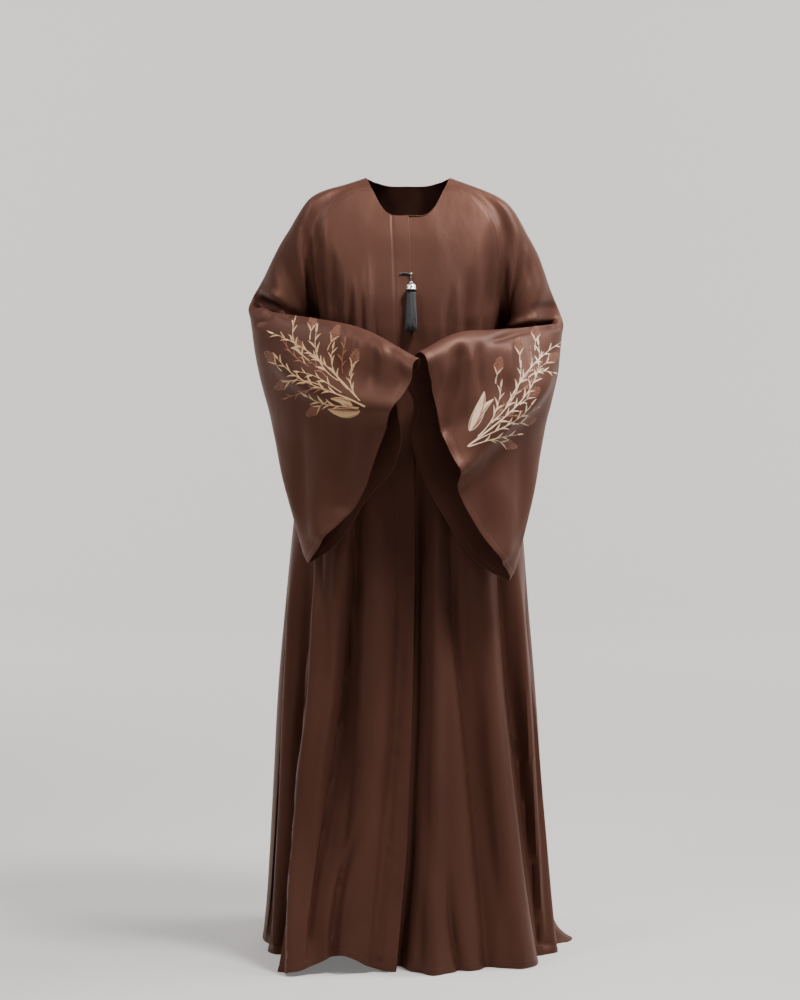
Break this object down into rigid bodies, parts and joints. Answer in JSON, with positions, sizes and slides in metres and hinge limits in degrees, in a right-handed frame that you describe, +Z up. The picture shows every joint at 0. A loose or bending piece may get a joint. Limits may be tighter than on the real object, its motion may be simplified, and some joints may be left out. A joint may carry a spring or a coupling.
{
  "type": "abaya",
  "caption": "Floor-length open abaya with raglan bell sleeves, concealed placket and a tassel, in its worn form.",
  "frame": {"origin": "centre of the neck at shoulder level, where the wearer holds the garment up", "axes": "+Z up, the front faces -Y, the wearer's right is at -X"},
  "size_m": [0.6251, 0.6011, 1.4733],
  "materials": {
    "cloth": "chocolate brown satin",
    "black_cord": "black rayon thread",
    "silver": "polished white metal",
    "thread": "cream and copper embroidery thread"
  },
  "bodies": {
    "root": {"front_right": "cloth", "front_left": "cloth", "back": "cloth", "sleeve_right": "cloth", "sleeve_left": "cloth", "tassel_toggle": "black_cord", "tassel_cord": "black_cord", "tassel_strands": "black_cord", "tassel_bead": "silver", "tassel_cap": "silver"}
  },
  "joints": []
}
